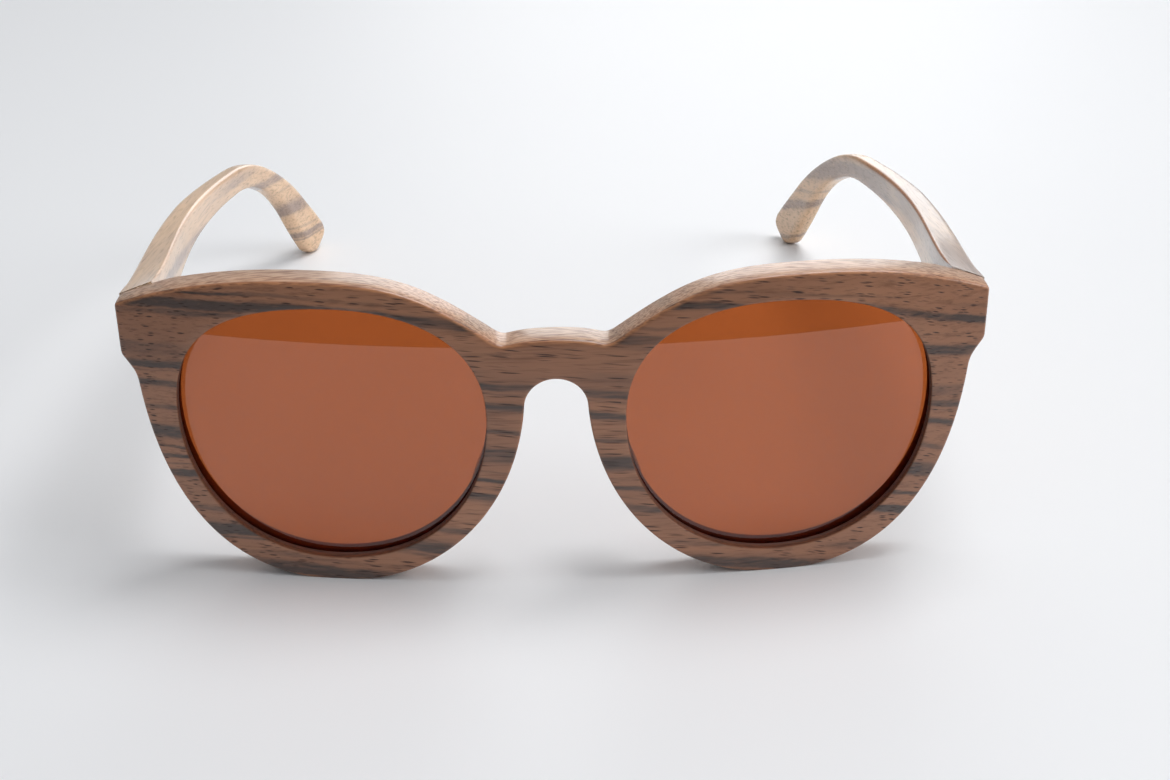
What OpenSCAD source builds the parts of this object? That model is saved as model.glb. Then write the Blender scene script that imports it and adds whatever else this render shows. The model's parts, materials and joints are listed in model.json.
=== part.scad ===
// Wooden sunglasses: a bowed front with two tinted lenses and two folding temples.
// Millimetres. The glasses stand on the rim bottoms and the temple tips, as laid on a table.
// X runs across, +Y points back along the temples and +Z points up.
// Left and right are the wearer's, so the left side is at +X.

/* [Lenses] */
// Width of a lens opening
lens_w = 51.5; // [44:0.5:58]
// Height of a lens opening
lens_h = 45; // [38:0.2:52]
// Distance between the two lens openings at the bridge
lens_gap = 23; // [20:0.5:28]
// Thickness of a lens
lens_t = 1.8; // [1.2:0.1:2.4]
// Wood in front of a lens
lens_lip = 2; // [1.2:0.1:2.6]
// How deep a lens sits in its groove
groove_depth = 0.8; // [0.4:0.1:1.4]
// Height of the widest point of an opening, above its lowest point
lens_waist = 26; // [20:0.5:32]
// Fullness of an opening towards the nose, above its waist (0.55 is an ellipse)
full_nose_high = 0.63; // [0.5:0.01:0.8]
// Fullness of an opening towards the temple, above its waist
full_temple_high = 0.69; // [0.5:0.01:0.8]
// Fullness of an opening towards the temple, below its waist
full_temple_low = 0.59; // [0.5:0.01:0.8]
// Fullness of an opening towards the nose, below its waist
full_nose_low = 0.6; // [0.5:0.01:0.8]

/* [Front] */
// Thickness of the wood
front_t = 6; // [5:0.1:8]
// Radius of the bow across the front face
bow_r = 320; // [220:5:600]
// Rim below an opening
rim_low = 4.5; // [3:0.1:7]
// Rim above an opening, at the crest of the brow
rim_top = 4.7; // [3:0.1:7]
// Rim beside an opening, towards the temple
rim_side = 6.2; // [4:0.1:8.5]
// How far the crest of the brow lies outwards of the middle of the opening
crest_out = 4.8; // [0:0.2:8]
// End piece, from the opening to the outer corner
end_w = 8.9; // [8.5:0.1:12]
// Height of the end piece at its outer edge
end_h = 9.1; // [8:0.1:12]
// Drop from the top of the opening to the outer corner
end_drop = 0.2; // [0:0.1:2.5]
// How far the end piece narrows from its upper to its lower corner
end_taper = 0.2; // [0:0.1:1.5]
// Height of the sweep from the end piece into the rim
end_sweep = 4.8; // [3:0.1:7]
// Thickness of the end piece at its outer corner, where a temple butts
end_t = 4; // [3.5:0.1:5.5]
// Distance between the two notches beside the bridge
notch_w = 17.4; // [15:0.2:20]
// Drop from the top of the opening to a notch
notch_drop = 6.2; // [4:0.1:9]
// Rounding of a notch
notch_r = 1.1; // [0.5:0.1:2]
// Rise of the bridge between its notches
bridge_rise = 1.15; // [0.3:0.05:2.5]
// Height of the bridge in the middle
bridge_h = 7; // [5:0.1:10]
// Width of the nose arch at its shoulders
nose_w = 10.5; // [9:0.1:13]
// Height of the nose arch above its shoulders
nose_arch_h = 5; // [3:0.1:6]
// Depth of the flats that the rims stand on
foot_cut = 0.8; // [0.4:0.1:1.5]

/* [Temples] */
// Length of a temple along its middle line, from the front to the tip
temple_l = 152; // [130:1:160]
// Length of the part behind the ear
drop_l = 34; // [32:1:46]
// Angle by which that part turns down
drop_angle = 47; // [36:1:48]
// Radius of the bend above the ear, along the middle line
bend_r = 42; // [30:1:50]
// Slope of a temple down from square to the front
temple_slope = 3.5; // [1.5:0.1:5]
// Thickness at the hinge
temple_t = 5.6; // [5:0.1:7]
// Thickness at the tip
tip_t = 3.4; // [3:0.1:5.5]
// Height at the bend
bend_h = 5.2; // [4.5:0.1:7.5]
// Height at the tip
tip_h = 8.4; // [7:0.1:11]
// How far a tip curves inwards of the hinge
tip_in = 13; // [8:0.5:20]
// How far a temple's curve is drawn outwards before the bend
temple_bow = 13; // [4:0.5:15]
// Length over which a temple's top eases from the slope of the brow to level
fair_l = 45; // [25:1:60]

/* [Nose pads] */
// Width of a pad
pad_w = 4.2; // [3.4:0.1:4.6]
// Height of a pad above the back of the front
pad_h = 4; // [2.5:0.1:5.5]
// Rounding of a pad's face
pad_round_r = 9; // [8:0.5:20]
// Where a pad starts along the rim beside the nose, as a share of that curve
pad_from = 0.1; // [0.06:0.01:0.2]
// Where a pad ends along that curve
pad_to = 0.42; // [0.34:0.01:0.5]
// Distance from the edge beside the nose to a pad
pad_inset = 0.3; // [0.1:0.1:0.5]

/* [Hinges] */
// Radius of the knuckles
knuckle_r = 1.5; // [1.3:0.05:1.8]
// Length of the temple's knuckle
knuckle_mid = 2.4; // [1.8:0.1:2.8]
// Length of each of the front's two knuckles
knuckle_end = 1.7; // [1.3:0.1:2]
// Radius of the hinge screw
pin_r = 0.7; // [0.6:0.05:0.8]
// Radius of the hinge screw's head
pin_head_r = 1.2; // [1:0.05:1.3]
// Height of the hinge screw's head
pin_head_h = 0.6; // [0.4:0.1:0.9]
// Thickness of the hinge leaves
leaf_t = 0.9; // [0.7:0.05:1.1]
// Length of the leaf on the front, across the end piece
front_leaf_l = 8.2; // [7.8:0.1:8.6]
// Length of the leaf on a temple
temple_leaf_l = 9.5; // [9:0.1:14]
// Radius of the screws that hold the leaves
screw_r = 0.6; // [0.5:0.05:0.7]
// Radius of their heads
head_r = 1.05; // [0.9:0.05:1.2]
// Length of those screws
screw_l = 3; // [2.4:0.1:3.2]
// Distance between the two screws of the front's leaf
front_screw_gap = 3; // [2.6:0.1:3.4]
// Distance between the two screws of a temple's leaf
temple_screw_gap = 4; // [3:0.1:6]

/* [Clearances] */
// Gap between a lens and its groove
lens_clear = 0.05; // [0.02:0.01:0.1]
// Gap between inlaid hinge leaves or screws and what holds them
inlay_clear = 0.05; // [0.02:0.01:0.1]
// Radial gap between the hinge screw and the knuckles
pin_clear = 0.05; // [0.02:0.01:0.1]
// Gap between neighbouring knuckles
knuckle_clear = 0.1; // [0.05:0.01:0.2]
// Gap between a knuckle and the wood beside it
barrel_clear = 0.35; // [0.3:0.05:0.6]
// Gap between an open temple and the front
butt_clear = 0.1; // [0.05:0.01:0.2]
// Glue line under a nose pad
glue = 0.05; // [0.02:0.01:0.1]

/* [Hidden] */
$fn = 48;
// Facets of the long bow
bow_fn = 720;
// Steps along a curve of an outline, along a short one, along a temple and along its faces
steps = 12;
short_steps = 6;
side_steps = 24;
face_steps = 32;
// Degrees between the points of a rounded tip and of a pad
tip_turn = 10;
pad_turn = 12;
// Facets of a pad's rounded face
pad_fn = 96;
// Past every face that a cut has to clear
over = 1;
// A small step, along a curve or between two faces that would otherwise touch
hair = 0.01;
// A length greater than any of the glasses
far = 400;
left = 1;
right = -1;

// Lens opening, as heights above the lowest point of the rim and distances from the middle
open_in = lens_gap / 2;
open_out = open_in + lens_w;
open_mid = open_in + lens_w / 2;
open_low = rim_low;
open_top = rim_low + lens_h;
open_waist = open_low + lens_waist;

// Corner points of one half of the front
crest = [open_mid + crest_out, open_top + rim_top];
end_top = [open_out + end_w, open_top - end_drop];
end_low = [end_top.x - end_taper, end_top.y - end_h];
rim_out = [open_out + rim_side, end_low.y - end_sweep];
rim_foot = [open_mid, 0];
notch = [notch_w / 2, open_top - notch_drop];
bridge_top = [0, notch.y + bridge_rise];
arch_top = [0, bridge_top.y - bridge_h];
arch_side = [nose_w / 2, arch_top.y - nose_arch_h];

// Slopes of the outline at its corners, as rise over run or run over rise
nose_slope = 0.08;
cheek_slope = 0.1;
step_slope = 0.75;
brow_slope = 0.36;
notch_slope = 0.7;
bridge_slope = 0.3;
// Fullness of the outline's curves
full_arch = 0.55;
full_nose = 0.56;
full_cheek_low = 0.7;
full_cheek_high = 0.5;
full_sweep_low = 1 / 3;
full_sweep_high = 1 / 2;
full_brow_out = 0.34;
full_brow_in = 0.46;
full_notch = 0.36;
full_bridge = 0.45;
// Where the handles of a temple's outer face lie along it
full_temple_front = 0.21;
full_temple_back = 0.57;
// Handle that rounds a corner between two straight runs
full_corner = 2 / 3;

// The bow: depth of the front face behind the middle of the bridge, at a distance from the middle
function bow(x, r = bow_r) = bow_r - sqrt(r * r - x * x);
back_r = bow_r - front_t;
seat_y = bow(end_top.x) + end_t;

// Hinge: the pivot lies inwards of the temple's inner face and behind the seat
temple_inner_x = end_top.x - temple_t;
pivot_x = temple_inner_x - barrel_clear - knuckle_r;
pivot_y = seat_y + barrel_clear + knuckle_r;
leaf_h = knuckle_mid + 2 * knuckle_end + 2 * knuckle_clear;
hinge_z = end_top.y - end_h / 2;
front_leaf_x = pivot_x - knuckle_r - barrel_clear;
front_screw_x = (pivot_x + knuckle_r + front_leaf_x + front_leaf_l) / 2;
temple_leaf_y = pivot_y - knuckle_r / 2;
temple_screw_y = (pivot_y + knuckle_r + temple_leaf_y + temple_leaf_l) / 2;
// Countersink of a leaf screw, and its slot
head_h = head_r - screw_r;
slot_w = 0.3;
slot_h = 0.25;

// Points on a cubic curve from a to d with handles b and c
function curve_at(a, b, c, d, t) =
    a * (1 - t) ^ 3 + 3 * b * t * (1 - t) ^ 2 + 3 * c * t ^ 2 * (1 - t) + d * t ^ 3;
function curve(h, n = steps) = [for (i = [0:n - 1]) curve_at(h[0], h[1], h[2], h[3], i / n)];
// Handles of a quarter round that leaves a upright and meets d level, or the other way round
function upright_quarter(a, d, k) = [a, [a.x, a.y + k * (d.y - a.y)], [d.x - k * (d.x - a.x), d.y], d];
function level_quarter(a, d, k) = [a, [a.x + k * (d.x - a.x), a.y], [d.x, d.y - k * (d.y - a.y)], d];
// A closed outline moved out by g, along the normal at each of its clockwise points
function normal(t) = [-t.y, t.x] / norm(t);
function grown(p, g) = [
    for (i = [0:len(p) - 1])
        p[i] + g * normal(p[(i + 1) % len(p)] - p[(i + len(p) - 1) % len(p)])
];
function mirrored(p) = [for (i = [len(p) - 1:-1:0]) [-p[i].x, p[i].y]];

// Lens opening: four quarter rounds between its outermost points
opening_nose = [open_in, open_waist];
opening_top = [open_mid, open_top];
opening_side = [open_out, open_waist];
opening_low = [open_mid, open_low];
opening = concat(
    curve(upright_quarter(opening_nose, opening_top, full_nose_high)),
    curve(level_quarter(opening_top, opening_side, full_temple_high)),
    curve(upright_quarter(opening_side, opening_low, full_temple_low)),
    curve(level_quarter(opening_low, opening_nose, full_nose_low))
);

// Rim beside the nose, from the shoulder of the arch to the foot
nose_side = [
    arch_side,
    arch_side + full_nose * arch_side.y * [nose_slope, -1],
    rim_foot - [full_nose * (rim_foot.x - arch_side.x), 0],
    rim_foot
];
// Rim beside the cheek, from the foot up to the end piece
cheek_side = [
    rim_foot,
    rim_foot + [full_cheek_low * (rim_out.x - rim_foot.x), 0],
    rim_out - full_cheek_high * rim_out.y * [cheek_slope, 1],
    rim_out
];
// Sweep from the rim out to the lower corner of the end piece
sweep_run = end_low.y - rim_out.y;
end_curve = [
    rim_out,
    rim_out + full_sweep_low * sweep_run * [cheek_slope, 1],
    end_low - full_sweep_high * sweep_run * [step_slope, 1],
    end_low
];
// Brow, from the outer corner over the crest to the notch
brow_out_run = full_brow_out * (end_top.x - crest.x);
brow_out = [end_top, end_top + brow_out_run * [-1, brow_slope], crest + [brow_out_run, 0], crest];
brow_in_end = notch + notch_r * [1, notch_slope];
brow_in_run = crest.x - notch.x;
brow_in = [
    crest,
    crest - [full_brow_in * brow_in_run, 0],
    brow_in_end + full_notch * brow_in_run * [1, notch_slope],
    brow_in_end
];
bridge_end = notch + notch_r * [-1, bridge_slope];
notch_curve = [
    brow_in_end,
    brow_in_end + full_corner * (notch - brow_in_end),
    bridge_end + full_corner * (notch - bridge_end),
    bridge_end
];
bridge_curve = [
    bridge_end,
    bridge_end + full_bridge / 2 * bridge_end.x * [-1, bridge_slope],
    bridge_top + [full_bridge * bridge_end.x, 0],
    bridge_top
];
half_front = concat(
    curve(level_quarter(arch_top, arch_side, full_arch)),
    curve(nose_side),
    curve(cheek_side),
    curve(end_curve, short_steps),
    [end_low],
    curve(brow_out),
    curve(brow_in),
    curve(notch_curve, short_steps),
    curve(bridge_curve, short_steps),
    [bridge_top]
);
front_outline = concat(half_front, [for (p = mirrored(half_front)) if (p.x < 0) p]);

// Middle line of a temple: straight, a bend, and straight again, as [back, up]
temple_y = seat_y + butt_clear;
bend_l = bend_r * drop_angle * PI / 180;
shaft_l = temple_l - drop_l - bend_l / 2;
function turned(s) = temple_slope + min(max((s - shaft_l) / bend_r * 180 / PI, 0), drop_angle);
function along(a) = [cos(a), -sin(a)];
function across(a) = [sin(a), cos(a)];
function middle(s) =
    [temple_y, hinge_z]
    + min(s, shaft_l) * along(temple_slope)
    + bend_r * (across(turned(s)) - across(temple_slope))
    + max(s - shaft_l - bend_l, 0) * along(turned(s));
// Heights along a temple, eased between the hinge, the bend and the tip
function eased(u) = u * u * (3 - 2 * u);
function blend(a, b, u) = a + (b - a) * eased(min(max(u, 0), 1));
bend_s = shaft_l + bend_l / 2;
round_s = temple_l - tip_h / 2;
function tip_round(s) = s > round_s ? sqrt(max(1 - ((s - round_s) / (tip_h / 2)) ^ 2, 0)) : 1;
function half_h(s) =
    tip_round(s) / 2
    * (s < bend_s ? blend(end_h, bend_h, s / bend_s) : blend(bend_h, tip_h, (s - bend_s) / (round_s - bend_s)));
// Extra height at the hinge, where the top follows the slope of the brow
fair_h = brow_slope * temple_t;
function fair(s) = s < fair_l ? fair_h * (1 - s / fair_l) ^ 2 : 0;
// Stations along the middle line, from a little before the butt face, which the plan cuts square
stations = concat(
    [for (i = [0:side_steps - 1]) (round_s + over) * i / side_steps - over],
    [for (a = [0:tip_turn:90]) round_s + tip_h / 2 * sin(a)]
);
temple_side = concat(
    [for (s = stations) middle(s) + (half_h(s) + fair(s)) * across(turned(s))],
    [for (i = [len(stations) - 2:-1:0]) middle(stations[i]) - half_h(stations[i]) * across(turned(stations[i]))]
);

// A temple from above, as [across, back]: its outer face is one curve, its inner face a thickness inwards
tip_y = middle(temple_l).x;
temple_run = tip_y + over - temple_y;
outer_face = [
    [end_top.x, temple_y],
    [end_top.x, temple_y + full_temple_front * temple_run],
    [end_top.x + temple_bow, temple_y + full_temple_back * temple_run],
    [end_top.x - tip_in, tip_y + over]
];
function outer_at(i) = curve_at(outer_face[0], outer_face[1], outer_face[2], outer_face[3], i / face_steps);
function face_dir(i) = i == 0 ? outer_face[1] - outer_face[0] : outer_at(i) - outer_at(i - 1);
function inner_at(i) = outer_at(i) + blend(temple_t, tip_t, i / face_steps) * normal(face_dir(i));
// Both faces run on straight past the tip, so that only the side view ends the temple
past_tip = temple_t * face_dir(face_steps) / norm(face_dir(face_steps));
temple_plan = concat(
    [for (i = [0:face_steps]) outer_at(i)],
    [outer_at(face_steps) + past_tip, inner_at(face_steps) + past_tip],
    [for (i = [face_steps:-1:0]) inner_at(i)]
);

// Standing: the front leans back until the rim flats and the temple tips share one level
foot = [bow(rim_foot.x, back_r), foot_cut];
function height(p, a) = p.y * cos(a) - p.x * sin(a);
function lowest(a) = let (h = [for (p = temple_side) height(p, a)]) temple_side[search(min(h), h)[0]];
function lean_for(a, n) =
    n == 0 ? a : let (p = lowest(a)) lean_for(atan2(p.y - foot.y, p.x - foot.x), n - 1);
lean_tries = 6;
lean = lean_for(temple_slope, lean_tries);
front_most = min([for (p = front_outline) bow(p.x) * cos(lean) + p.y * sin(lean)]);
back_most = max([for (p = temple_side) p.x * cos(lean) + p.y * sin(lean)]);

module stand() {
    translate([0, -(front_most + back_most) / 2, -height(foot, lean)])
        rotate([-lean, 0, 0])
            children();
}

module on_side(s) {
    mirror([s < 0 ? 1 : 0, 0, 0])
        children();
}

// A slab of the bowed front between two depths behind its face
module bowed(from, to) {
    translate([0, bow_r, -far / 2])
        difference() {
            cylinder(r = bow_r - from, h = far, $fn = bow_fn);
            translate([0, 0, -over])
                cylinder(r = bow_r - to, h = far + 2 * over, $fn = bow_fn);
        }
}

// An outline seen from the front, carried back through the whole front
module through(outline) {
    reach = bow(end_top.x) + front_t + pad_h + over;
    translate([0, reach, 0])
        rotate([90, 0, 0])
            linear_extrude(reach + over)
                polygon(outline);
}

// Leaf screw along +Z, with the top of its head at the origin
module leaf_screw_body(r, head, l) {
    translate([0, 0, -l])
        cylinder(r = r, h = l);
    translate([0, 0, -head_h])
        cylinder(r1 = r, r2 = head, h = head_h);
}

module leaf_screw() {
    difference() {
        leaf_screw_body(screw_r, head_r, screw_l);
        translate([-head_r - over, -slot_w / 2, -slot_h])
            cube([2 * (head_r + over), slot_w, slot_h + over]);
    }
}

module leaf_screw_hole() {
    leaf_screw_body(screw_r + inlay_clear, head_r + inlay_clear, screw_l + inlay_clear);
    translate([0, 0, -hair])
        cylinder(r = head_r + inlay_clear, h = over);
}

// The places of the leaf screws, with +Z out of the wood
module at_front_screws() {
    for (k = [-1, 1])
        translate([front_screw_x, seat_y, hinge_z + k * front_screw_gap / 2])
            rotate([-90, 0, 0])
                children();
}

module at_temple_screws() {
    for (k = [-1, 1])
        translate([temple_inner_x, temple_screw_y + k * temple_screw_gap / 2, hinge_z])
            rotate([0, -90, 0])
                children();
}

// Plates of the two hinge leaves, grown by g for the pockets that take them
module front_plate(g) {
    translate([front_leaf_x - g, seat_y - leaf_t - g, hinge_z - leaf_h / 2 - g])
        cube([front_leaf_l + 2 * g, leaf_t + g + (g > 0 ? over : 0), leaf_h + 2 * g]);
}

module temple_plate(g) {
    translate([temple_inner_x - (g > 0 ? over : 0), temple_leaf_y - g, hinge_z - leaf_h / 2 - g])
        cube([leaf_t + g + (g > 0 ? over : 0), temple_leaf_l + 2 * g, leaf_h + 2 * g]);
}

module at_pivot(z) {
    translate([pivot_x, pivot_y, hinge_z + z])
        children();
}

module pin_bore() {
    at_pivot(-leaf_h)
        cylinder(r = pin_r + pin_clear, h = 2 * leaf_h);
}

module half_front_cuts() {
    through(opening);
    intersection() {
        through(grown(opening, groove_depth + lens_clear));
        bowed(lens_lip - lens_clear, lens_lip + lens_t + lens_clear);
    }
    front_plate(inlay_clear);
    at_front_screws()
        leaf_screw_hole();
}

module front_frame() {
    color("sienna")
        difference() {
            stand()
                difference() {
                    intersection() {
                        through(front_outline);
                        bowed(0, front_t);
                        translate([-far / 2, -over, -far / 2])
                            cube([far, seat_y + over, far]);
                    }
                    for (s = [left, right])
                        on_side(s)
                            half_front_cuts();
                }
            translate([-far / 2, -far / 2, -far])
                cube([far, far, far]);
        }
}

module lens(s) {
    color("chocolate", 0.7)
        stand()
            on_side(s)
                intersection() {
                    through(grown(opening, groove_depth));
                    bowed(lens_lip, lens_lip + lens_t);
                }
}

// A pad follows the rim beside the nose, narrowing to both ends, with a rounded face
module nose_pad(s) {
    function spot(t) = curve_at(nose_side[0], nose_side[1], nose_side[2], nose_side[3], t);
    function heading(t) = spot(t + hair) - spot(t - hair);
    function rib(a, k) =
        let (t = pad_from + (pad_to - pad_from) * (1 - cos(a)) / 2)
        spot(t) + (pad_inset + pad_w / 2 * (1 + k * sin(a))) * normal(heading(t));
    pad_outline = concat(
        [for (a = [0:pad_turn:180]) rib(a, 1)],
        [for (a = [180 - pad_turn:-pad_turn:pad_turn]) rib(a, -1)]
    );
    mid = rib(90, 0);
    color("peru")
        stand()
            on_side(s)
                intersection() {
                    through(pad_outline);
                    translate([0, bow_r, -far / 2])
                        cylinder(r = back_r - glue, h = far, $fn = bow_fn);
                    translate([mid.x, bow(mid.x, back_r) + pad_h - pad_round_r, mid.y])
                        sphere(r = pad_round_r, $fn = pad_fn);
                }
}

module front_hinge_leaf(s) {
    color("silver")
        stand()
            on_side(s)
                difference() {
                    union() {
                        front_plate(0);
                        for (z = [-leaf_h / 2, leaf_h / 2 - knuckle_end]) {
                            at_pivot(z)
                                cylinder(r = knuckle_r, h = knuckle_end);
                            translate([pivot_x - knuckle_r, seat_y - leaf_t, hinge_z + z])
                                cube([2 * knuckle_r, pivot_y - seat_y + leaf_t, knuckle_end]);
                        }
                    }
                    pin_bore();
                    at_front_screws()
                        leaf_screw_hole();
                }
}

module front_leaf_screws(s) {
    color("gainsboro")
        stand()
            on_side(s)
                at_front_screws()
                    leaf_screw();
}

module hinge_screw(s) {
    color("gainsboro")
        stand()
            on_side(s)
                difference() {
                    union() {
                        at_pivot(-leaf_h / 2)
                            cylinder(r = pin_r, h = leaf_h);
                        at_pivot(leaf_h / 2)
                            cylinder(r = pin_head_r, h = pin_head_h);
                    }
                    at_pivot(leaf_h / 2 + pin_head_h - slot_h)
                        translate([-pin_head_r - over, -slot_w / 2, 0])
                            cube([2 * (pin_head_r + over), slot_w, slot_h + over]);
                }
}

module temple(s) {
    color("burlywood")
        stand()
            on_side(s)
                difference() {
                    intersection() {
                        rotate([90, 0, 90])
                            linear_extrude(far / 2)
                                polygon(temple_side);
                        translate([0, 0, -far / 2])
                            linear_extrude(far)
                                polygon(temple_plan);
                        brow_plane();
                    }
                    temple_plate(inlay_clear);
                    at_temple_screws()
                        leaf_screw_hole();
                }
}

// Everything below the slope of the brow, carried back along the slope of the temple
module brow_plane() {
    translate([end_top.x, temple_y, end_top.y])
        rotate([-temple_slope, 0, 0])
            rotate([0, atan(brow_slope), 0])
                translate([-far / 2, -far / 2, -far])
                    cube([far, far, far]);
}

module temple_hinge_leaf(s) {
    color("silver")
        stand()
            on_side(s)
                difference() {
                    union() {
                        temple_plate(0);
                        at_pivot(-knuckle_mid / 2)
                            cylinder(r = knuckle_r, h = knuckle_mid);
                        translate([pivot_x, temple_leaf_y, hinge_z - knuckle_mid / 2])
                            cube([temple_inner_x + leaf_t - pivot_x, pivot_y + knuckle_r - temple_leaf_y, knuckle_mid]);
                    }
                    pin_bore();
                    at_temple_screws()
                        leaf_screw_hole();
                }
}

module temple_leaf_screws(s) {
    color("gainsboro")
        stand()
            on_side(s)
                at_temple_screws()
                    leaf_screw();
}

front_frame();
lens(right);  // lens_right
lens(left);  // lens_left
nose_pad(right);  // nose_pad_right
nose_pad(left);  // nose_pad_left
front_hinge_leaf(right);  // front_hinge_leaf_right
front_hinge_leaf(left);  // front_hinge_leaf_left
front_leaf_screws(right);  // front_leaf_screws_right
front_leaf_screws(left);  // front_leaf_screws_left
hinge_screw(right);  // hinge_screw_right
hinge_screw(left);  // hinge_screw_left
temple(right);  // temple_right
temple(left);  // temple_left
temple_hinge_leaf(right);  // temple_hinge_leaf_right
temple_hinge_leaf(left);  // temple_hinge_leaf_left
temple_leaf_screws(right);  // temple_leaf_screws_right
temple_leaf_screws(left);  // temple_leaf_screws_left
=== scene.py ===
# %% [markdown]
# # Wooden sunglasses
# A bowed wooden front carries two copper-brown lenses, and two wooden temples fold on small steel hinges.
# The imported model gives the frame: every body, hinge and metal piece is already in its place there.
# This lesson rebuilds the wood and the lenses with smooth surfaces and eased edges, and finishes them.

# %% Load the frame
import json
import math

import bpy
import numpy as np
from mathutils import Matrix, Vector


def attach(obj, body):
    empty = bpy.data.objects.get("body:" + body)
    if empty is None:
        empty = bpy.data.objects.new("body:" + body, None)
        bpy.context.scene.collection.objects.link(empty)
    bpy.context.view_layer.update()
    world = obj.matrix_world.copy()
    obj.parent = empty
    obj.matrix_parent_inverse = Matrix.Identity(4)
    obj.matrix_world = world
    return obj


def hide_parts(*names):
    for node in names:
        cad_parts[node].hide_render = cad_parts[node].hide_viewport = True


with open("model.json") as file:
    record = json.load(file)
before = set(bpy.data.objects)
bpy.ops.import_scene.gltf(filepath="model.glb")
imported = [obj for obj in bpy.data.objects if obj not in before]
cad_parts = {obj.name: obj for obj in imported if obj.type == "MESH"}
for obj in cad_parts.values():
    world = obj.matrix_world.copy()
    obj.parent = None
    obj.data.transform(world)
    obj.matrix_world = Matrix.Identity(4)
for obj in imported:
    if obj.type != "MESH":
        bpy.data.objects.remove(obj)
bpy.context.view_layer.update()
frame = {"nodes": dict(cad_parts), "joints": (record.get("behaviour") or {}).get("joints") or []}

MM = 0.001
SIDES = ((1, "left"), (-1, "right"))

# %% [markdown]
# ## The upright frame of the maker
# A maker draws the front upright and the temples square to it, in millimetres.
# On the table the glasses lean back a little, until the rims and the temple tips both touch the surface.
# The hinge axis in the record gives that lean, and the hinge's own place gives the shift.

# %% From the upright drawing to the table
HINGE = (64.45, 14.0321, 44.75)
left_joint = next(j for j in frame["joints"] if j["name"] == "temple_left_fold")
axis = np.array(left_joint["axis"], float)
place = np.array(left_joint["pos_m"], float)
lean = math.atan2(axis[1], axis[2])
LEAN = np.array([
    [1, 0, 0],
    [0, math.cos(lean), math.sin(lean)],
    [0, -math.sin(lean), math.cos(lean)],
])
SHIFT = place - LEAN @ np.array(HINGE) * MM


def on_table(points):
    """Upright millimetres to metres on the table: turn about X by the lean, then shift."""
    return np.asarray(points, float) @ LEAN.T * MM + SHIFT


print("lean", round(math.degrees(lean), 3), "degrees")

# %% [markdown]
# ## Curves of the front
# A template for such a front is drawn with a few smooth curves: quarter rounds for the lens opening,
# long sweeps for the rim, and a small step where the end piece meets the rim.
# Cubic curves with named handles give the same control as a maker's French curves.

# %% Helpers for curves
def bezier(a, b, c, d, n=200):
    """Points of a cubic curve: its four handles weighted by the Bernstein polynomials of t in [0, 1]."""
    t = np.linspace(0, 1, n)[:, None]
    a, b, c, d = (np.asarray(p, float) for p in (a, b, c, d))
    return a * (1 - t) ** 3 + 3 * b * t * (1 - t) ** 2 + 3 * c * t ** 2 * (1 - t) + d * t ** 3


def upright_quarter(a, d, k):
    """A quarter round that leaves a upright and meets d level, with fullness k."""
    return bezier(a, (a[0], a[1] + k * (d[1] - a[1])), (d[0] - k * (d[0] - a[0]), d[1]), d)


def level_quarter(a, d, k):
    """A quarter round that leaves a level and meets d upright, with fullness k."""
    return bezier(a, (a[0] + k * (d[0] - a[0]), a[1]), (d[0], d[1] - k * (d[1] - a[1])), d)


def chain(*runs):
    """Runs joined end to end, with the shared points kept once."""
    return np.concatenate([runs[0]] + [r[1:] for r in runs[1:]])


def even(points, n):
    """n points spread evenly by arc length along an open run."""
    step = np.linalg.norm(np.diff(points, axis=0), axis=1)
    s = np.concatenate([[0], np.cumsum(step)])
    at = np.linspace(0, s[-1], n)
    return np.stack([np.interp(at, s, points[:, k]) for k in range(points.shape[1])], -1)


def smoothed(closed, times):
    """A closed run of points, each moved a few times to the mean of itself and its neighbours."""
    for _ in range(times):
        closed = (np.roll(closed, 1, 0) + 2 * closed + np.roll(closed, -1, 0)) / 4
    return closed


def outward(closed):
    """Unit normals of a closed counter-clockwise run: its tangent turned right by 90 degrees."""
    t = np.roll(closed, -1, 0) - np.roll(closed, 1, 0)
    n = np.stack([t[:, 1], -t[:, 0]], -1)
    return n / np.linalg.norm(n, axis=1, keepdims=True)


def blend(a, b, share):
    """From a to b with a smooth start and end: the cubic 3u^2 - 2u^3 of the clipped share."""
    w = np.clip(share, 0, 1)
    return a + (b - a) * w * w * (3 - 2 * w)


# %% Lens opening
OPEN_IN, OPEN_OUT, OPEN_LOW, OPEN_TOP, OPEN_WAIST = 11.5, 63.0, 4.5, 49.5, 30.5
# Fullness of the four quarters
NOSE_TOP_FULL, SIDE_TOP_FULL, SIDE_LOW_FULL, NOSE_LOW_FULL = 0.63, 0.69, 0.59, 0.6
OPEN_MID = (OPEN_IN + OPEN_OUT) / 2
NOSE_PT, TOP_PT = (OPEN_IN, OPEN_WAIST), (OPEN_MID, OPEN_TOP)
SIDE_PT, LOW_PT = (OPEN_OUT, OPEN_WAIST), (OPEN_MID, OPEN_LOW)
opening = chain(
    upright_quarter(NOSE_PT, TOP_PT, NOSE_TOP_FULL),
    level_quarter(TOP_PT, SIDE_PT, SIDE_TOP_FULL),
    upright_quarter(SIDE_PT, LOW_PT, SIDE_LOW_FULL),
    level_quarter(LOW_PT, NOSE_PT, NOSE_LOW_FULL),
)
print("opening", len(opening), "points")

# %% Half of the outer edge, from the top of the nose arch round the rim and the brow to the bridge
ARCH_TOP, ARCH_SIDE = np.array([0, 37.45]), np.array([5.25, 32.45])
FOOT, RIM_OUT = np.array([OPEN_MID, 0]), np.array([69.2, 35.4])
END_LOW, END_TOP = np.array([71.7, 40.2]), np.array([71.9, 49.3])
CREST, NOTCH = np.array([42.05, 54.2]), np.array([8.7, 43.3])
BRIDGE_TOP = np.array([0, 44.45])
NOTCH_R, BROW_SLOPE = 1.1, 0.36
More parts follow.
